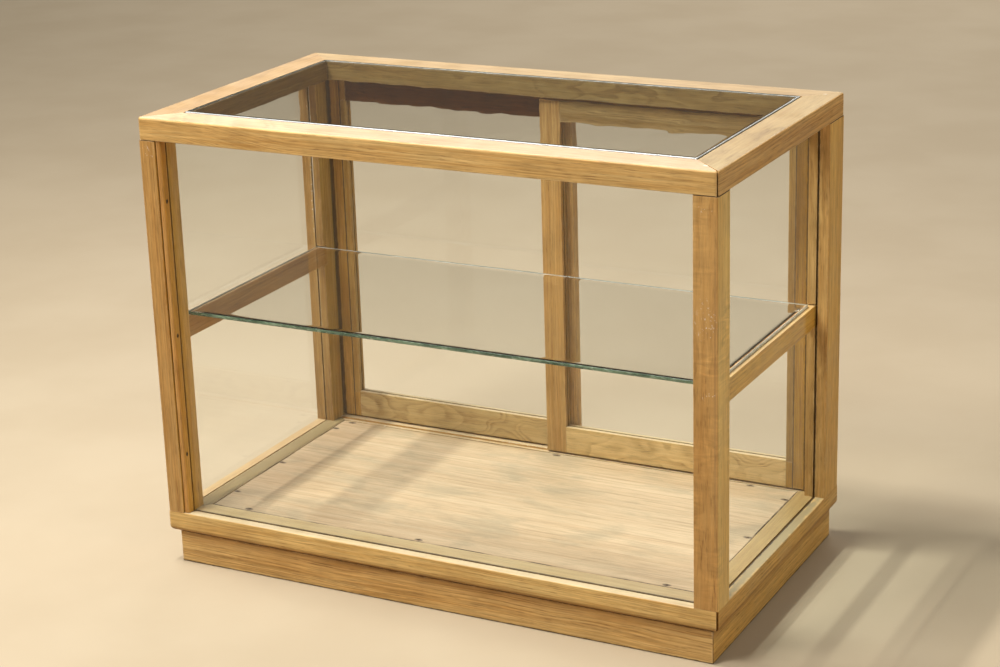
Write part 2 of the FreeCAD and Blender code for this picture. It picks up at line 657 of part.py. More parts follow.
    def bead_edges(m, run_dir, length):
        return abs(run_dir.z) > 0.999 and near(m.y, y0 + 0.3)
    round_edges(body, "FaceEdges", bead_edges, d.door_ease)
    keep(tag + "_bead", body)


door("right_door", 1, d.door_front)
door("left_door", -1, d.door_front + d.door_pitch)

# ---------------------------------------------------------------- check and write
doc.recompute()
bad = [o.Name for o in doc.Objects if any(s in ("Invalid", "Error") for s in o.State)]
if bad:
    raise RuntimeError("failed objects: %s" % ", ".join(bad))
for label, obj in nodes.items():
    s = obj.Shape
    if s.isNull() or not s.isValid() or not s.Solids:
        raise RuntimeError("bad shape: " + label)
    if label not in ("glue_blocks", "floor_nails", "bead_nails") and len(s.Solids) != 1:
        raise RuntimeError("%s has %d solids" % (label, len(s.Solids)))

os.makedirs("parts", exist_ok=True)
for old in os.listdir("parts"):
    if old.endswith(".step") and old[:-5] not in nodes:
        os.remove(os.path.join("parts", old))
for label, obj in nodes.items():
    obj.Shape.exportStep(os.path.join("parts", label + ".step"))
print("%d nodes" % len(nodes))
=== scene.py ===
import math

import bmesh
import bpy
from mathutils import Matrix, Vector, noise


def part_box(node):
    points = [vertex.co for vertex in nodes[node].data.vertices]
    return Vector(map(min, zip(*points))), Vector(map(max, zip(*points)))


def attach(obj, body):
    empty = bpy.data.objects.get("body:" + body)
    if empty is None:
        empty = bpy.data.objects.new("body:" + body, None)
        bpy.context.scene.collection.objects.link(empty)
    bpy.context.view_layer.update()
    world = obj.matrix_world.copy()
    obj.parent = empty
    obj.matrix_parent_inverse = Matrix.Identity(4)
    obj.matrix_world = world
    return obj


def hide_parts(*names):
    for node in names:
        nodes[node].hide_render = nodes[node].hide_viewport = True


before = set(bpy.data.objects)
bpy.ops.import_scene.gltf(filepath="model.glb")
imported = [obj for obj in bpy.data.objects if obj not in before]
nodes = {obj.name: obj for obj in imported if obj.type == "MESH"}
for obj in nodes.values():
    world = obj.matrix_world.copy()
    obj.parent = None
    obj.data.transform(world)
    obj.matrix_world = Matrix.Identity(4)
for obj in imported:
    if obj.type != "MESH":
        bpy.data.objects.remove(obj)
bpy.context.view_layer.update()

scene = bpy.context.scene


# ------------------------------------------------------------------ node helpers
class Tree:
    """Short names for building a material's nodes."""

    def __init__(self, name):
        self.mat = bpy.data.materials.new(name)
        self.mat.use_nodes = True
        self.t = self.mat.node_tree
        self.t.nodes.clear()
        self.out = self.new("ShaderNodeOutputMaterial")

    def new(self, kind, **props):
        n = self.t.nodes.new(kind)
        for k, v in props.items():
            setattr(n, k, v)
        return n

    def put(self, socket, value):
        if isinstance(value, bpy.types.NodeSocket):
            self.t.links.new(value, socket)
        elif value is not None:
            socket.default_value = value

    def math(self, op, a, b=None, clamp=False):
        n = self.new("ShaderNodeMath", operation=op, use_clamp=clamp)
        self.put(n.inputs[0], a)
        self.put(n.inputs[1], b)
        return n.outputs[0]

    def vec(self, op, a, b=None):
        n = self.new("ShaderNodeVectorMath", operation=op)
        self.put(n.inputs[0], a)
        if op == "SCALE":
            self.put(n.inputs[3], b)
        else:
            self.put(n.inputs[1], b)
        return n.outputs[1] if op in ("LENGTH", "DISTANCE", "DOT_PRODUCT") else n.outputs[0]

    def noise(self, vector, detail=2.0, rough=0.5, distortion=0.0, scale=1.0):
        n = self.new("ShaderNodeTexNoise")
        self.put(n.inputs["Vector"], vector)
        self.put(n.inputs["Scale"], scale)
        self.put(n.inputs["Detail"], detail)
        self.put(n.inputs["Roughness"], rough)
        self.put(n.inputs["Distortion"], distortion)
        return n.outputs[0]

    def line_noise(self, w, detail=1.0):
        n = self.new("ShaderNodeTexNoise", noise_dimensions="1D")
        self.put(n.inputs["W"], w)
        self.put(n.inputs["Scale"], 1.0)
        self.put(n.inputs["Detail"], detail)
        return n.outputs[0]

    def span(self, value, a, b, c=0.0, d=1.0, smooth=True):
        n = self.new("ShaderNodeMapRange", clamp=True)
        n.interpolation_type = "SMOOTHSTEP" if smooth else "LINEAR"
        self.put(n.inputs[0], value)
        for i, v in zip((1, 2, 3, 4), (a, b, c, d)):
            n.inputs[i].default_value = v
        return n.outputs[0]

    def mix(self, fac, a, b, blend="MIX"):
        n = self.new("ShaderNodeMix", data_type="RGBA", blend_type=blend)
        self.put(n.inputs[0], fac)
        for i, v in ((6, a), (7, b)):
            self.put(n.inputs[i], (*v, 1.0) if isinstance(v, tuple) and len(v) == 3 else v)
        return n.outputs[2]

    def place(self):
        return self.new("ShaderNodeTexCoord").outputs["Object"]

    def mapped(self, vector, rotation, location):
        n = self.new("ShaderNodeMapping")
        self.put(n.inputs["Vector"], vector)
        n.inputs["Rotation"].default_value = rotation
        n.inputs["Location"].default_value = location
        return n.outputs[0]


GRAIN = {"x": (0.0, 0.0, 0.0), "y": (0.0, 0.0, -math.pi / 2), "z": (0.0, math.pi / 2, 0.0)}


def spot(t, place, centre, radii, fray):
    """A soft-edged blob in the piece's own space, with a ragged rim."""
    away = t.vec("SUBTRACT", place, centre)
    away = t.vec("DIVIDE", away, radii)
    far = t.math("ADD", t.vec("LENGTH", away), t.math("MULTIPLY", t.math("SUBTRACT", fray, 0.5), 1.1))
    return t.span(far, 1.0, 0.55)


MARK = {"white": (0.80, 0.77, 0.70), "dark": (0.040, 0.027, 0.020), "grey": (0.36, 0.32, 0.25), "pale": (0.72, 0.55, 0.33),
        "bruise": (0.20, 0.115, 0.060), "rust": (0.16, 0.075, 0.035), "scuff": (0.320, 0.270, 0.170)}


def wood(name, axis, seed, light, dark, ring=0.0046, pith=(0.05, 0.09), wobble=0.006, contrast=0.50, pore=0.50, wear=0.55,
         dirt_and_shade=0.55, rough=0.44, marks=(), cloud=0.55, curl=0.0, bend=None, painted_top_sheen=0.42, painted_contact_shadow=0.0, painted_side_light=None, painted_inside_shade=None,
         up=None, painted_overhang_shade=None, streaks=1.0, swirl=(3.1, 11.0)):
    """Ring-porous wood with the grain along one axis: growth rings, open pores, slow changes of tone, worn edges."""
    t = Tree(name)
    place = t.place()
    offset = 1.7 * seed
    p = t.mapped(place, GRAIN[axis], (offset, 0.0, 0.0))
    # growth rings around a pith that lies outside the stick
    around = t.vec("ADD", t.vec("MULTIPLY", p, (0.0, 1.0, 1.0)), (0.0, pith[0], pith[1]))
    sway = t.noise(t.vec("MULTIPLY", p, (swirl[0], swirl[1], swirl[1])), detail=2.0)
    ripple = t.noise(t.vec("MULTIPLY", p, (17.0, 60.0, 60.0)), detail=2.0)
    r = t.math("ADD", t.vec("LENGTH", around), t.math("MULTIPLY", t.math("SUBTRACT", sway, 0.5), 2.0 * wobble))
    r = t.math("ADD", r, t.math("MULTIPLY", t.math("SUBTRACT", ripple, 0.5), 0.0034))
    if bend:
        along = t.math("SUBTRACT", t.vec("DOT_PRODUCT", p, (1.0, 0.0, 0.0)), offset)
        r = t.math("ADD", r, t.span(along, bend[0], bend[1], 0.0, bend[2]))
    phase = t.math("DIVIDE", r, ring)
    phase = t.math("ADD", phase, t.math("MULTIPLY", t.line_noise(t.math("MULTIPLY", r, 70.0), 2.0), 4.0))
    saw = t.math("FRACT", phase)
    early = t.math("MAXIMUM", t.span(saw, 0.0, 0.66, 1.0, 0.0), t.span(saw, 0.82, 1.0))
    strength = t.span(t.noise(t.vec("MULTIPLY", p, (5.0, 45.0, 45.0)), detail=2.0), 0.34, 0.66, 0.30, 1.0)
    early = t.math("MULTIPLY", early, strength)
    # pores: short dark dashes, thickest in the early wood
    fine = t.noise(t.vec("MULTIPLY", p, (46.0, 520.0, 520.0)), detail=2.0, rough=0.6)
    pores = t.math("MULTIPLY", t.span(fine, 0.52, 0.68), t.math("ADD", 0.30, t.math("MULTIPLY", early, 0.70)))
    streak = t.noise(t.vec("MULTIPLY", p, (6.0, 190.0, 190.0)), detail=3.0, rough=0.62, distortion=0.25)
    fibre = t.noise(t.vec("MULTIPLY", p, (24.0, 420.0, 420.0)), detail=3.0, rough=0.65)
    slow = t.noise(t.vec("MULTIPLY", p, (2.1, 13.0, 13.0)), detail=3.0, rough=0.6)
    blotch = t.noise(t.vec("MULTIPLY", place, (17.0, 17.0, 17.0)), detail=3.0, rough=0.6)

    colour = t.mix(t.math("MULTIPLY", early, contrast), light, dark)
    warm = tuple(c * k for c, k in zip(light, (0.92, 0.79, 0.60)))
    colour = t.mix(t.math("MULTIPLY", t.span(slow, 0.38, 0.66), cloud), colour, t.mix(t.math("MULTIPLY", early, contrast), warm, dark))
    # dark lines are redder, light ones yellower
    redder = tuple(1.0 - streaks * c for c in (0.14, 0.24, 0.40))
    yellower = tuple(1.0 + streaks * c for c in (0.12, 0.17, 0.22))
    colour = t.vec("MULTIPLY", colour, t.mix(t.span(streak, 0.30, 0.70, smooth=False), redder, yellower))
    colour = t.vec("SCALE", colour, t.span(fibre, 0.25, 0.75, 1.0 - 0.20 * streaks, 1.0 + 0.20 * streaks, smooth=False))
    colour = t.vec("SCALE", colour, t.span(blotch, 0.3, 0.7, 0.93, 1.06))
    if curl:
        wave = t.noise(t.vec("MULTIPLY", p, (95.0, 24.0, 24.0)), detail=2.0, rough=0.55, distortion=1.2)
        patch = t.noise(t.vec("MULTIPLY", p, (9.0, 16.0, 16.0)), detail=1.0)
        colour = t.vec("SCALE", colour, t.math("ADD", 1.0, t.math("MULTIPLY", t.math("MULTIPLY", t.math("SUBTRACT", wave, 0.5), 2.0 * curl), t.span(patch, 0.38, 0.62))))
    colour = t.mix(t.math("MULTIPLY", pores, pore), colour, (0.15, 0.072, 0.022))

    # upper faces take a painted sheen, worn edges are paler, joints hold dirt and painted occlusion shade
    geometry = t.new("ShaderNodeNewGeometry")
    if painted_inside_shade:
        # painted shade: the part behind the glass is darkened as if shaded by the frame and panes
        direction, start, tint = painted_inside_shade
        shaded = t.mix(t.span(t.vec("DOT_PRODUCT", place, direction), start, start + 0.0015), (1.0, 1.0, 1.0), tint)
        colour = t.vec("MULTIPLY", colour, shaded)
    if painted_side_light:
        # painted light: faces turned to +X get their own tint, lightened as if lit from the right
        facing = t.span(t.vec("DOT_PRODUCT", geometry.outputs["Normal"], (1.0, 0.0, 0.0)), 0.60, 0.90)
        colour = t.vec("MULTIPLY", colour, t.mix(facing, (1.0, 1.0, 1.0), painted_side_light))
    upward = t.span(t.vec("DOT_PRODUCT", geometry.outputs["Normal"], (0.0, 0.0, 1.0)), 0.70, 0.97)
    ragged = t.noise(t.vec("MULTIPLY", place, (58.0, 58.0, 58.0)), detail=4.0, rough=0.7)
    # painted sheen: up-facing faces are mixed towards a pale tan as if catching the overhead light
    sheen_mask = t.math("MULTIPLY", upward, t.span(blotch, 0.25, 0.75, 0.75 * painted_top_sheen, 1.25 * painted_top_sheen))
    sheen_tint = (0.56, 0.44, 0.31)
    colour = t.mix(sheen_mask, colour, t.vec("MULTIPLY", shaded, sheen_tint) if painted_inside_shade else sheen_tint)
    # painted light and shade: up-facing faces are lightened or darkened per piece for how the lamps fall on them
    if up:
        colour = t.vec("MULTIPLY", colour, t.mix(upward, (1.0, 1.0, 1.0), up))
    if painted_overhang_shade:
        # painted shade: wood next to an overhang is darkened as if in its shadow
        unshaded_height, shaded_height, tint = painted_overhang_shade
        height_of = t.math("ADD", t.vec("DOT_PRODUCT", place, (0.0, 0.0, 1.0)), t.math("MULTIPLY", t.math("SUBTRACT", slow, 0.5), 0.010))
        colour = t.vec("MULTIPLY", colour, t.mix(t.span(height_of, unshaded_height, shaded_height), (1.0, 1.0, 1.0), tint))
    bevel = t.new("ShaderNodeBevel", samples=4)
    bevel.inputs["Radius"].default_value = 0.0030
    turn = t.vec("DOT_PRODUCT", bevel.outputs[0], geometry.outputs["Normal"])
    edge = t.math("MULTIPLY", t.span(turn, 0.992, 0.90), t.span(ragged, 0.40, 0.62))
    colour = t.mix(t.math("MULTIPLY", edge, wear), colour, (0.70, 0.50, 0.27))
    if dirt_and_shade:
        # dirt in joints together with painted shade: ambient occlusion darkens crevices and gaps where shade falls
        occlusion_shade = t.new("ShaderNodeAmbientOcclusion", samples=4)
        occlusion_shade.inputs["Distance"].default_value = 0.0045
        grime = t.math("MULTIPLY", t.span(occlusion_shade.outputs["AO"], 0.60, 0.10), t.span(ragged, 0.25, 0.6, 0.45, 1.0))
        colour = t.mix(t.math("MULTIPLY", grime, dirt_and_shade), colour, (0.060, 0.034, 0.015))
    if painted_contact_shadow:
        # painted contact shadow: the lowest few millimetres are darkened where the piece stands on the floor
        high = t.vec("DOT_PRODUCT", place, (0.0, 0.0, 1.0))
        contact_shadow = t.math("MULTIPLY", t.span(t.math("ADD", high, t.math("MULTIPLY", ragged, 0.004)), 0.0052, 0.0022), painted_contact_shadow)
        colour = t.mix(contact_shadow, colour, (0.030, 0.019, 0.012))
    if marks:
        flake = t.span(t.noise(t.vec("MULTIPLY", place, (360.0, 360.0, 250.0)), detail=3.0, rough=0.7), 0.59, 0.68)
    for kind, centre, radii, strength_of in marks:
        m = spot(t, place, centre, radii, ragged)
        if kind == "specks":
            m = t.math("MULTIPLY", m, flake)
        colour = t.mix(t.math("MULTIPLY", m, strength_of), colour, MARK["white" if kind == "specks" else kind])

    shader = t.new("ShaderNodeBsdfPrincipled")
    t.put(shader.inputs["Base Color"], colour)
    sheen = t.math("ADD", t.math("MULTIPLY", pores, 0.16), t.span(blotch, 0.3, 0.7, rough - 0.06, rough + 0.08))
    t.put(shader.inputs["Roughness"], sheen)
    shader.inputs["Specular IOR Level"].default_value = 0.32
    height = t.math("SUBTRACT", t.math("MULTIPLY", fibre, 0.35), t.math("ADD", t.math("MULTIPLY", pores, 0.8), t.math("MULTIPLY", early, 0.25)))
    bump = t.new("ShaderNodeBump")
    bump.inputs["Strength"].default_value = 0.32
    bump.inputs["Distance"].default_value = 0.0006
    t.put(bump.inputs["Height"], height)
    t.put(shader.inputs["Normal"], bump.outputs[0])
    t.put(t.out.inputs["Surface"], shader.outputs[0])
    return t.mat


def board_wood(name, nail_points):
    """Bare, pale veneered board: long soft figure, grey water marks, rust bleeding from the nails."""
    t = Tree(name)
    place = t.place()
    p = t.mapped(place, GRAIN["x"], (0.37, 0.0, 0.0))
    figure = t.noise(t.vec("MULTIPLY", p, (2.2, 46.0, 46.0)), detail=3.0, rough=0.60, distortion=0.8)
    lines = t.noise(t.vec("MULTIPLY", p, (5.0, 240.0, 240.0)), detail=3.0, rough=0.6, distortion=0.3)
    fibre = t.noise(t.vec("MULTIPLY", p, (26.0, 520.0, 520.0)), detail=3.0, rough=0.65)
    cloud = t.noise(t.vec("MULTIPLY", place, (9.0, 17.0, 17.0)), detail=5.0, rough=0.62, distortion=0.4)
    ragged = t.noise(t.vec("MULTIPLY", place, (60.0, 60.0, 60.0)), detail=4.0, rough=0.7)
    colour = t.mix(t.span(figure, 0.34, 0.66), (0.592, 0.446, 0.285), (0.530, 0.378, 0.229))
    colour = t.mix(t.math("MULTIPLY", t.span(lines, 0.46, 0.70), 0.50), colour, (0.340, 0.222, 0.118))
    colour = t.mix(t.math("MULTIPLY", t.span(cloud, 0.44, 0.68), 0.62), colour, (0.370, 0.300, 0.198))
    colour = t.vec("SCALE", colour, t.span(fibre, 0.25, 0.75, 0.82, 1.16, smooth=False))
    # painted light: paler towards the back, lifting the shade that falls there
    colour = t.vec("SCALE", colour, t.span(t.vec("DOT_PRODUCT", place, (0.0, 1.0, 0.0)), 0.03, 0.14, 1.0, 1.11))
    # dirt in the joint along the border, broken in places
    border = t.new("ShaderNodeVectorMath", operation="ABSOLUTE")
    t.put(border.inputs[0], place)
    apart = t.new("ShaderNodeSeparateXYZ")
    t.put(apart.inputs[0], border.outputs[0])
    reach = t.math("MAXIMUM", t.math("SUBTRACT", apart.outputs[0], 0.4036), t.math("SUBTRACT", apart.outputs[1], 0.1970))
    broken = t.span(t.noise(t.vec("MULTIPLY", place, (13.0, 13.0, 13.0)), detail=4.0, rough=0.65), 0.40, 0.58, 0.15, 1.0)
    grime = t.math("MULTIPLY", t.span(reach, 0.0, 0.0012), broken)
    colour = t.mix(t.math("MULTIPLY", grime, 0.88), colour, (0.050, 0.032, 0.017))
    halo = None
    for x, y, z in nail_points:
        m = spot(t, place, (x, y, z), (0.0085, 0.0045, 0.02), ragged)
        halo = m if halo is None else t.math("MAXIMUM", halo, m)
    colour = t.mix(t.math("MULTIPLY", halo, 0.85), colour, (0.105, 0.075, 0.052))
    shader = t.new("ShaderNodeBsdfPrincipled")
    t.put(shader.inputs["Base Color"], colour)
    t.put(shader.inputs["Roughness"], t.span(cloud, 0.3, 0.7, 0.50, 0.66))
    shader.inputs["Specular IOR Level"].default_value = 0.35
    bump = t.new("ShaderNodeBump")
    bump.inputs["Strength"].default_value = 0.25
    bump.inputs["Distance"].default_value = 0.0005
    t.put(bump.inputs["Height"], t.math("ADD", fibre, t.math("MULTIPLY", lines, -0.8)))
    t.put(shader.inputs["Normal"], bump.outputs[0])
    t.put(t.out.inputs["Surface"], shader.outputs[0])
    return t.mat


def nail_steel(name):
    t = Tree(name)
    place = t.place()
    rust = t.noise(t.vec("MULTIPLY", place, (420.0, 420.0, 420.0)), detail=4.0, rough=0.7)
    colour = t.mix(t.span(rust, 0.36, 0.64), (0.035, 0.026, 0.021), (0.15, 0.068, 0.030))
    shader = t.new("ShaderNodeBsdfPrincipled")
    t.put(shader.inputs["Base Color"], colour)
    t.put(shader.inputs["Metallic"], t.span(rust, 0.45, 0.62, 0.75, 0.05))
    t.put(shader.inputs["Roughness"], t.span(rust, 0.3, 0.7, 0.45, 0.85))
    bump = t.new("ShaderNodeBump")
    bump.inputs["Strength"].default_value = 0.5
    bump.inputs["Distance"].default_value = 0.0003
    t.put(bump.inputs["Height"], rust)
    t.put(shader.inputs["Normal"], bump.outputs[0])
    t.put(t.out.inputs["Surface"], shader.outputs[0])
    return t.mat


def pane(name, tint, film=0.012, ior=1.5):
    """Clear glass that lets the lamps through, with a faint uneven film that takes the edge off its shine."""
    t = Tree(name)
    place = t.place()
    wipe = t.noise(t.vec("MULTIPLY", place, (7.0, 7.0, 7.0)), detail=5.0, rough=0.65, distortion=0.8)
    shader = t.new("ShaderNodeBsdfPrincipled")
    shader.inputs["Base Color"].default_value = (*tint, 1.0)
    t.put(shader.inputs["Roughness"], t.span(wipe, 0.45, 0.75, 0.0, film))
    shader.inputs["IOR"].default_value = ior
    shader.inputs["Transmission Weight"].default_value = 1.0
    clear = t.new("ShaderNodeBsdfTransparent")
    clear.inputs["Color"].default_value = (0.95 * tint[0], 0.95 * tint[1], 0.95 * tint[2], 1.0)
    rays = t.new("ShaderNodeLightPath")
    both = t.new("ShaderNodeMixShader")
    t.put(both.inputs[0], rays.outputs["Is Shadow Ray"])
    t.put(both.inputs[1], shader.outputs[0])
    t.put(both.inputs[2], clear.outputs[0])
    t.put(t.out.inputs["Surface"], both.outputs[0])
    return t.mat


def glass_edge(name, deep, bright, through=0.25):
    """The ground edge of a plate: green in depth, with streaks where light pipes out."""
    t = Tree(name)
    place = t.place()
    streak = t.noise(t.vec("MULTIPLY", place, (22.0, 22.0, 240.0)), detail=3.0, rough=0.6)
    glint = t.noise(t.vec("MULTIPLY", place, (90.0, 90.0, 420.0)), detail=2.0)
    colour = t.mix(t.span(streak, 0.35, 0.68), deep, bright)
    shader = t.new("ShaderNodeBsdfPrincipled")
    t.put(shader.inputs["Base Color"], colour)
    t.put(shader.inputs["Roughness"], t.span(glint, 0.35, 0.65, 0.08, 0.32))
    shader.inputs["IOR"].default_value = 1.5
    shader.inputs["Transmission Weight"].default_value = through
    bump = t.new("ShaderNodeBump")
    bump.inputs["Strength"].default_value = 0.15
    bump.inputs["Distance"].default_value = 0.0004
    t.put(bump.inputs["Height"], glint)
    t.put(shader.inputs["Normal"], bump.outputs[0])
    t.put(t.out.inputs["Surface"], shader.outputs[0])
    return t.mat


def dress(node, material):
    slots = nodes[node].data.materials
    if len(slots) == 0:
        slots.append(material)
    for i in range(len(slots)):
        slots[i] = material


# ------------------------------------------------------------------ wood and nails
HONEY = dict(light=(0.62, 0.385, 0.145), dark=(0.36, 0.185, 0.050))
AMBER = dict(light=(0.55, 0.305, 0.100), dark=(0.35, 0.165, 0.042))
PALE = dict(light=(0.64, 0.42, 0.18), dark=(0.41, 0.23, 0.08))


def toned(base, k):
    return {key: tuple(c * k for c in value) for key, value in base.items()}


UNDER_TOP = ("dark", (0.0, 0.0, 0.6712), (2.0, 2.0, 0.0016), 0.75)

dress("top_rail_front", wood("top_front", "x", 1, ring=0.0052, pith=(0.24, -0.30), bend=(-0.46, -0.17, 0.036), up=(0.92, 0.91, 1.06),
                             painted_inside_shade=((0.0, 1.0, 0.0), -0.2012, (0.55, 0.55, 0.52)), marks=(
    ("white", (0.4297, -0.2262, 0.705), (0.0052, 0.0026, 0.004), 0.60),
    ("specks", (0.4350, -0.2430, 0.7045), (0.0180, 0.005, 0.004), 0.70)), light=(0.59, 0.395, 0.162), dark=(0.345, 0.190, 0.056)))
dress("top_rail_back", wood("top_back", "x", 2, ring=0.0052, pith=(-0.31, -0.66), wobble=0.020, swirl=(5.0, 16.0), contrast=0.80, painted_top_sheen=0.30, up=(0.68, 0.757, 0.84),
                            painted_inside_shade=((0.0, -1.0, 0.0), -0.2012, (0.46, 0.51, 0.51)), **HONEY))
dress("top_rail_left", wood("top_left", "y", 3, ring=0.0052, pith=(-0.43, -0.34), wobble=0.008, up=(0.63, 0.63, 0.63),
                            painted_inside_shade=((1.0, 0.0, 0.0), -0.4077, (0.40, 0.38, 0.28)), marks=(
    ("dark", (-0.4060, 0.2000, 0.686), (0.0024, 0.0024, 0.030), 0.85),), **HONEY))
dress("top_rail_right", wood("top_right", "y", 4, ring=0.0048, pith=(0.43, -0.36), contrast=0.75, painted_top_sheen=0.30, up=(0.60, 0.675, 0.72),
                             painted_inside_shade=((-1.0, 0.0, 0.0), -0.4077, (0.55, 0.55, 0.52)), marks=(
    ("white", (0.4300, 0.2250, 0.705), (0.0070, 0.0030, 0.004), 0.60),), **HONEY))
dress("post_front_left", wood("post_fl", "z", 5, ring=0.0042, pith=(0.227, -0.58), wobble=0.004, dirt_and_shade=0.30, painted_side_light=(1.20, 1.22, 0.88), marks=(
    UNDER_TOP, ("specks", (-0.437, -0.2485, 0.655), (0.02, 0.004, 0.010), 0.5)), light=(0.485, 0.292, 0.104), dark=(0.31, 0.158, 0.044)))
dress("post_front_right", wood("post_fr", "z", 6, ring=0.0048, pith=(0.330, 0.437), wobble=0.006, curl=0.46, contrast=0.36, streaks=0.55, painted_side_light=(1.42, 1.66, 1.70), marks=(
    UNDER_TOP,
    ("specks", (0.437, -0.2485, 0.500), (0.022, 0.004, 0.035), 0.6),
    ("specks", (0.440, -0.2485, 0.400), (0.016, 0.004, 0.012), 0.6),
    ("specks", (0.436, -0.2485, 0.652), (0.016, 0.004, 0.008), 0.7),
    ("bruise", (0.4505, -0.2485, 0.380), (0.0016, 0.006, 0.30), 0.35)), light=(0.525, 0.314, 0.112), dark=(0.335, 0.170, 0.047)))
dress("post_back_left", wood("post_bl", "z", 7, ring=0.0042, pith=(-0.33, -0.437), wobble=0.004, painted_side_light=(1.33, 1.44, 1.13), marks=(
    UNDER_TOP, ("specks", (-0.4395, 0.1885, 0.52), (0.0030, 0.004, 0.17), 1.0),
    ("white", (-0.4340, 0.1885, 0.54), (0.0012, 0.004, 0.15), 0.50),
    ("dark", (-0.4210, 0.2215, 0.38), (0.0040, 0.0009, 2.0), 0.80)), light=(0.345, 0.213, 0.077), dark=(0.213, 0.113, 0.031)))
dress("post_back_right", wood("post_br", "z", 8, ring=0.0040, pith=(-0.34, 0.437), wobble=0.004, painted_side_light=(1.25, 1.25, 0.92),
                              painted_inside_shade=((-1.0, 0.0, 0.0), -0.4365, (0.84, 0.86, 0.88)), marks=(
    # painted shade: the dark line at the pane groove stands for the shade inside it
    UNDER_TOP, ("dark", (0.4372, 0.1885, 0.38), (0.0030, 0.006, 2.0), 0.85)), light=(0.545, 0.335, 0.125), dark=(0.345, 0.180, 0.052)))
dress("front_glass_bead", wood("bead_fl", "z", 9, ring=0.0035, pith=(0.24, -0.55), wobble=0.003, dirt_and_shade=0.30, painted_side_light=(1.12, 1.14, 0.78), marks=tuple(
    ("dark", (-0.4192, -0.2395, z), (0.004, 0.0030, 0.0042), 0.95) for z in (0.579, 0.370, 0.179)), **AMBER))
# painted shade: the rim's rounded lower edge and the plinth top below it are darkened
SHADE_UNDER_RIM = (0.0645, 0.0510, (0.56, 0.45, 0.34))
SHADE_ON_PLINTH_TOP = (0.024, 0.052, (0.62, 0.53, 0.44))
dress("rim_front", wood("rim_f", "x", 10, ring=0.0054, pith=(0.24, -0.40), contrast=0.60, dirt_and_shade=0.20, painted_overhang_shade=SHADE_UNDER_RIM, up=(1.06, 1.22, 1.42),
                        painted_inside_shade=((0.0, 1.0, 0.0), -0.2325, (0.79, 0.73, 0.64)), marks=(
    # painted shade: the dark line along the front pane stands for the shade in its groove
    ("dark", (0.0, -0.2288, 0.083), (2.0, 0.0021, 0.004), 0.75),), light=(0.640, 0.445, 0.180), dark=(0.38, 0.208, 0.058)))
dress("rim_back", wood("rim_b", "x", 11, ring=0.0050, pith=(-0.22, -0.36), dirt_and_shade=0.20, painted_overhang_shade=SHADE_UNDER_RIM,
                       up=(1.15, 1.30, 1.45), marks=(
    ("specks", (-0.360, 0.206, 0.083), (0.060, 0.010, 0.004), 0.9), ("specks", (-0.085, 0.212, 0.083), (0.100, 0.007, 0.004), 0.8)), **HONEY))
dress("rim_left", wood("rim_l", "y", 12, ring=0.0050, pith=(-0.44, -0.38), dirt_and_shade=0.20, painted_overhang_shade=SHADE_UNDER_RIM,
                       painted_inside_shade=((1.0, 0.0, 0.0), -0.4372, (0.56, 0.60, 0.58)), up=(0.78, 0.80, 0.76), **HONEY))
dress("rim_right", wood("rim_r", "y", 13, ring=0.0050, pith=(0.44, -0.38), dirt_and_shade=0.20, painted_overhang_shade=SHADE_UNDER_RIM, painted_side_light=(1.04, 1.03, 0.78),
                        up=(1.22, 1.20, 0.92), painted_inside_shade=((-1.0, 0.0, 0.0), -0.4372, (0.60, 0.61, 0.62)), marks=(
    ("scuff", (0.4467, 0.0, 0.083), (0.010, 0.30, 0.004), 0.80),
    # painted shade: the dark line along the right pane stands for the shade in its groove
    ("dark", (0.4388, 0.0, 0.083), (0.0022, 2.0, 0.004), 0.90)), **HONEY))
dress("plinth_front", wood("plinth_f", "x", 14, ring=0.0062, pith=(0.23, 0.26), wobble=0.012, contrast=0.72, dirt_and_shade=0.20, painted_contact_shadow=0.9, painted_overhang_shade=SHADE_ON_PLINTH_TOP, light=(0.635, 0.415, 0.165), dark=(0.35, 0.187, 0.052)))
dress("plinth_back", wood("plinth_b", "x", 15, ring=0.0052, pith=(-0.23, 0.26), dirt_and_shade=0.20, painted_contact_shadow=0.9, painted_overhang_shade=SHADE_ON_PLINTH_TOP, **HONEY))
dress("plinth_left", wood("plinth_l", "y", 16, ring=0.0052, pith=(-0.44, 0.26), dirt_and_shade=0.20, painted_contact_shadow=0.9, painted_overhang_shade=SHADE_ON_PLINTH_TOP, **HONEY))
dress("plinth_right", wood("plinth_r", "y", 17, ring=0.0052, pith=(0.44, 0.26), dirt_and_shade=0.20, painted_contact_shadow=0.9, painted_overhang_shade=SHADE_ON_PLINTH_TOP, painted_side_light=(1.15, 1.16, 0.92), **HONEY))
dress("glue_blocks", wood("block", "z", 18, ring=0.0048, pith=(0.6, 0.3), wobble=0.004, wear=0.2, rough=0.6, **PALE))
dress("shelf_rail_left", wood("shelf_l", "y", 19, ring=0.0045, pith=(-0.43, -0.12), wobble=0.004, dirt_and_shade=0.0, light=(0.420, 0.230, 0.068), dark=(0.266, 0.125, 0.029)))
dress("shelf_rail_right", wood("shelf_r", "y", 20, ring=0.0045, pith=(0.43, -0.12), wobble=0.004, dirt_and_shade=0.0, light=(0.700, 0.430, 0.086), dark=(0.440, 0.225, 0.034)))
# joint between each outer stile and its glazing bead
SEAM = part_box("right_door_bead")[1].x + 0.0006
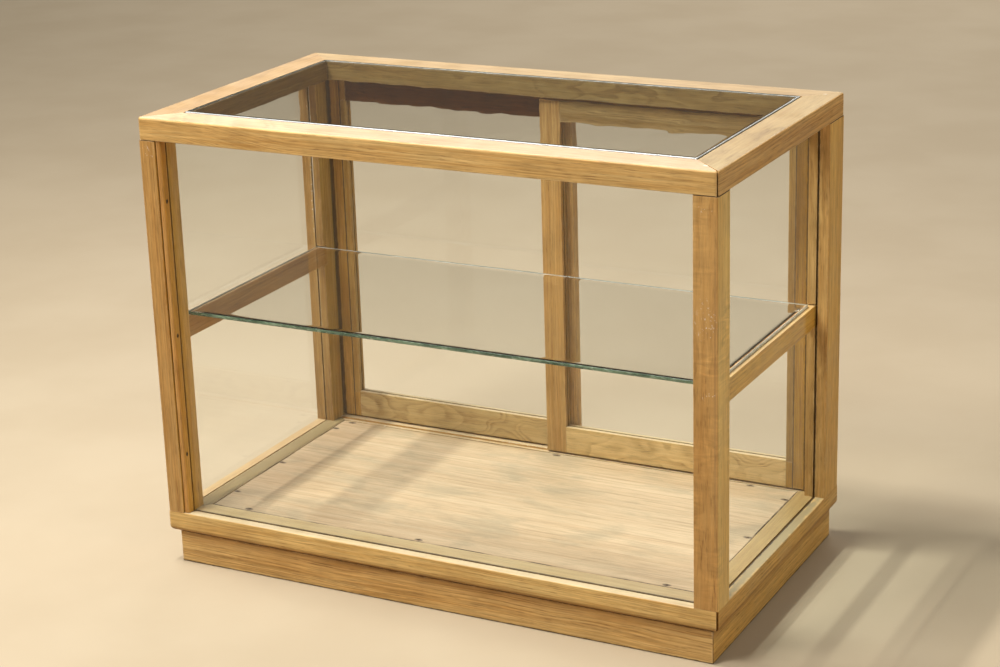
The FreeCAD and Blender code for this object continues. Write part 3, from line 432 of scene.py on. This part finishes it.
# per door, painted light and shade: the inner face of the top rail is darkened as if shaded by the head rail, the right
# bottom rail is lightened and the left one darkened as lit and shaded copies, and the outer stiles are darkened, partly
# for shade
for side, base, sx, y0, top, low, outer in (
        ("right", 30, 1.0, 0.202, (0.76, 0.83, 0.89), 1.12, 0.76),
        ("left", 40, -1.0, 0.222, (0.27, 0.14, 0.03), 0.88, 0.84)):
    dress("%s_door_stile_outer" % side, wood("%s_stile_outer" % side, "z", base, ring=0.0044, pith=(-y0 - 0.01, sx * 0.54), wobble=0.004, marks=(
        # painted shade: the first dark line stands for the shade cast by the back post, and the right stile darkens
        # towards the top as if shaded by the top frame
        ("dark", (sx * 0.4175, y0, 0.37), (0.0042, 0.006, 2.0), 0.80),
        ("dark", (sx * SEAM, y0, 0.37), (0.0014, 0.006, 2.0), 0.75)), painted_overhang_shade=(0.34, 0.52, (0.60, 0.52, 0.36) if sx > 0 else (0.98, 0.98, 0.98)),
        light=(0.55 * outer, 0.322 * outer, (0.045 if sx > 0 else 0.080) * outer), dark=(0.35 * outer, 0.174 * outer, (0.019 if sx > 0 else 0.034) * outer)))
    dress("%s_door_stile_inner" % side, wood("%s_stile_inner" % side, "z", base + 1, ring=0.0044, pith=(-y0 - 0.01, sx * 0.13), wobble=0.004, **toned(HONEY, 0.80 if sx > 0 else 1.05)))
    dress("%s_door_top_rail" % side, wood("%s_top_rail" % side, "x", base + 2, ring=0.0052, pith=(-y0 - 0.05, -0.74), wobble=0.008,
        painted_inside_shade=((0.0, -1.0, 0.0), -y0 - 0.0035, top), light=(0.540, 0.335, 0.126), dark=(0.313, 0.161, 0.044)))
    dress("%s_door_bottom_rail" % side, wood("%s_bottom_rail" % side, "x", base + 3, ring=0.0034, cloud=0.30, pith=(-y0 - 0.075, -0.105), wobble=0.026, swirl=(6.5, 10.0), contrast=0.66, streaks=0.5, light=(0.660 * low, 0.480 * low, 0.225 * low), dark=(0.37 * low, 0.218 * low, 0.072 * low)))
    dress("%s_door_bead" % side, wood("%s_bead" % side, "z", base + 4, ring=0.0036, pith=(-y0 - 0.01, sx * 0.50), wobble=0.003,
        **toned(dict(light=(0.42, 0.268, 0.082), dark=(0.27, 0.150, 0.038)), 0.80 if sx > 0 else 1.0)))

# heads of the floor nails, read back from the nails themselves
heads = []
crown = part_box("floor_nails")[1].z
for v in nodes["floor_nails"].data.vertices:
    if v.co.z > crown - 0.0002:
        near = [h for h in heads if (h[0] - v.co).length < 0.012]
        if near:
            near[0].append(v.co.copy())
        else:
            heads.append([v.co.copy()])
nail_spots = [tuple(sum(h, Vector()) / len(h)) for h in heads]
dress("floor_board", board_wood("floor_board_wood", nail_spots))
steel = nail_steel("old_nail")
dress("floor_nails", steel)
dress("bead_nails", steel)

# ------------------------------------------------------------------ glass
clear = pane("clear_pane", (0.985, 0.996, 0.990), ior=1.32)
for n in ("front_glass", "left_glass", "left_door_glass", "right_door_glass"):
    dress(n, clear)
dress("right_glass", pane("side_pane", (0.985, 0.996, 0.990), ior=1.12))


def plate(name, low, high, steps, waves, ease, ground=False):
    """A glass plate as a closed mesh: rounded arris, both faces drawn slightly uneven where waves says so."""
    nx, ny = steps
    xs = [low.x, low.x + ease * 0.3, low.x + ease] + [low.x + ease + (high.x - low.x - 2 * ease) * i / nx for i in range(1, nx)] + [high.x - ease, high.x - ease * 0.3, high.x]
    ys = [low.y, low.y + ease * 0.3, low.y + ease] + [low.y + ease + (high.y - low.y - 2 * ease) * i / ny for i in range(1, ny)] + [high.y - ease, high.y - ease * 0.3, high.y]
    drop = {0: ease, 1: ease * 0.3, 2: 0.0}

    def lowered(i, n):
        k = min(i, n - 1 - i)
        return drop.get(k, 0.0)

    bm = bmesh.new()
    faces = {}
    grid = {}
    for side in (0, 1):
        for i, x in enumerate(xs):
            for j, y in enumerate(ys):
                w = 0.0
                if waves:
                    amp, sx, sy = waves
                    fade = min(1.0, 8.0 * min(x - low.x, high.x - x, y - low.y, high.y - y) / 0.1)
                    w = amp * fade * (noise.noise(Vector((x * sx + 11.0 * side, y * sy, 3.1 + 7.7 * side)))
                                      + 0.45 * noise.noise(Vector((x * sx * 2.3, y * sy * 2.1 + 5.0 * side, 9.4))))
                cut = max(lowered(i, len(xs)), lowered(j, len(ys)))
                z = high.z - abs(waves[0]) * 1.5 - cut + w if side and waves else (high.z - cut if side else low.z + cut + (abs(waves[0]) * 1.5 + w if waves else 0.0))
                grid[side, i, j] = bm.verts.new((x, y, z))
    smooth, front, rim, arris = [], [], [], []
    for i in range(len(xs) - 1):
        for j in range(len(ys) - 1):
            border = min(i, j, len(xs) - 2 - i, len(ys) - 2 - j) < 2
            f = bm.faces.new((grid[1, i, j], grid[1, i + 1, j], grid[1, i + 1, j + 1], grid[1, i, j + 1]))
            g = bm.faces.new((grid[0, i, j], grid[0, i, j + 1], grid[0, i + 1, j + 1], grid[0, i + 1, j]))
            if not border:
                smooth.extend((f, g))
            elif ground:
                arris.extend((f, g))
            else:
                (front if j < 2 and 1 < i < len(xs) - 3 else rim).extend((f, g))
    last_i, last_j = len(xs) - 1, len(ys) - 1
    loop = ([(i, 0) for i in range(last_i)] + [(last_i, j) for j in range(last_j)]
            + [(i, last_j) for i in range(last_i, 0, -1)] + [(0, j) for j in range(last_j, 0, -1)])
    for k, (i, j) in enumerate(loop):
        a, b = loop[(k + 1) % len(loop)]
        (front if j == 0 and b == 0 else rim).append(bm.faces.new((grid[0, i, j], grid[0, a, b], grid[1, a, b], grid[1, i, j])))
    for f in smooth:
        f.smooth, f.material_index = True, 0
    for f in front:
        f.smooth, f.material_index = True, 1
    for f in rim:
        f.smooth, f.material_index = True, 2
    for f in arris:
        f.smooth, f.material_index = True, 3
    bm.normal_update()
    mesh = bpy.data.meshes.new(name)
    bm.to_mesh(mesh)
    bm.free()
    piece = bpy.data.objects.new(name, mesh)
    scene.collection.objects.link(piece)
    return piece


low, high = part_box("top_glass")
top_plate = plate("top_plate", low, high, (160, 80), (0.00009, 24.0, 16.0), 0.0015, ground=True)
top_plate.data.materials.append(pane("old_drawn_pane", (0.97, 0.990, 0.982), ior=1.15))
# the front edge is painted shade and the arris a painted highlight; the other edges keep the glass's green
top_plate.data.materials.append(glass_edge("top_plate_edge_shade", (0.022, 0.028, 0.030), (0.060, 0.075, 0.078)))
top_plate.data.materials.append(glass_edge("top_plate_side", (0.018, 0.055, 0.052), (0.050, 0.150, 0.140)))
top_plate.data.materials.append(glass_edge("top_plate_arris_highlight", (0.50, 0.53, 0.53), (0.62, 0.65, 0.66)))
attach(top_plate, "cabinet")
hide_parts("top_glass")

low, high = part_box("glass_shelf")
shelf = plate("shelf_plate", low, high, (60, 30), None, 0.0008)
shelf.data.materials.append(pane("shelf_pane", (0.980, 0.995, 0.988), ior=1.25))
shelf.data.materials.append(glass_edge("shelf_edge", (0.045, 0.112, 0.070), (0.215, 0.340, 0.225)))
# painted light: the side and back edges are pale as if lit by light piped through the plate
shelf.data.materials.append(glass_edge("shelf_side_glow", (0.55, 0.60, 0.55), (0.85, 0.88, 0.84), 0.10))
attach(shelf, "cabinet")
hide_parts("glass_shelf")

# ------------------------------------------------------------------ floor, light, camera
floor_mesh = bpy.data.meshes.new("studio_floor")
floor_mesh.from_pydata([(-30, -30, 0), (30, -30, 0), (30, 30, 0), (-30, 30, 0)], [], [(0, 1, 2, 3)])
floor = bpy.data.objects.new("studio_floor", floor_mesh)
scene.collection.objects.link(floor)
t = Tree("pale_floor")
place = t.place()
mottle = t.noise(t.vec("MULTIPLY", place, (3.0, 3.0, 3.0)), detail=4.0)
colour = t.mix(t.span(mottle, 0.3, 0.7), (0.400, 0.328, 0.228), (0.425, 0.353, 0.250))
shader = t.new("ShaderNodeBsdfPrincipled")
t.put(shader.inputs["Base Color"], colour)
shader.inputs["Roughness"].default_value = 0.75
shader.inputs["Specular IOR Level"].default_value = 0.2
t.put(t.out.inputs["Surface"], shader.outputs[0])
floor_mesh.materials.append(t.mat)

world = bpy.data.worlds.new("studio")
scene.world = world
world.use_nodes = True
back = world.node_tree.nodes["Background"]
back.inputs["Color"].default_value = (1.0, 0.89, 0.72, 1.0)
back.inputs["Strength"].default_value = 0.12


def lamp(name, at, to, size, watts, colour):
    data = bpy.data.lights.new(name, "AREA")
    data.shape = "RECTANGLE"
    data.size, data.size_y = size
    data.energy = watts
    data.color = colour
    data.cycles.use_multiple_importance_sampling = False
    o = bpy.data.objects.new(name, data)
    scene.collection.objects.link(o)
    o.location = at
    o.rotation_euler = (Vector(to) - Vector(at)).to_track_quat("-Z", "Y").to_euler()
    return o


lamp("overhead_left", (-1.35, -0.31, 3.2), (0.0, -0.31, 0.4), (0.62, 0.08), 60, (1.0, 0.965, 0.91))
lamp("overhead_mid", (-0.65, -0.31, 3.2), (0.0, -0.31, 0.4), (0.62, 0.08), 60, (1.0, 0.965, 0.91))
lamp("front", (-1.3, -2.1, 3.6), (0.0, 0.0, 0.35), (1.6, 1.2), 150, (1.0, 0.965, 0.91))
lamp("side", (3.4, -0.9, 2.3), (0.0, 0.0, 0.35), (1.6, 1.6), 38, (1.0, 0.93, 0.83))
lamp("backdrop", (-1.0, 6.2, 5.0), (-1.0, 6.0, 0.0), (6.0, 4.0), 330, (1.0, 0.975, 0.94))

yaw, pitch, roll = math.radians(-27.64), math.radians(-18.49), math.radians(-1.81)
forward = Vector((math.sin(yaw) * math.cos(pitch), math.cos(yaw) * math.cos(pitch), math.sin(pitch)))
right = Vector((math.cos(yaw), -math.sin(yaw), 0.0))
up = right.cross(forward)
turned_right = math.cos(roll) * right + math.sin(roll) * up
turned_up = -math.sin(roll) * right + math.cos(roll) * up
cam_data = bpy.data.cameras.new("camera")
cam_data.sensor_fit = "HORIZONTAL"
cam_data.sensor_width = 36.0
cam_data.lens = 2244.1 * 36.0 / 1000.0
cam_data.clip_end = 200.0
camera = bpy.data.objects.new("camera", cam_data)
scene.collection.objects.link(camera)
turn = Matrix((turned_right, turned_up, -forward)).transposed()
camera.matrix_world = Matrix.Translation((1.4952, -2.8515, 1.4281)) @ turn.to_4x4()
scene.camera = camera

# panes stay sharp for every ray, so that light through them is counted once and the posts cast clear shadows
scene.cycles.blur_glossy = 0.0
scene.view_settings.view_transform = "Standard"
scene.view_settings.look = "None"
scene.view_settings.exposure = 0.0
scene.view_settings.gamma = 1.0
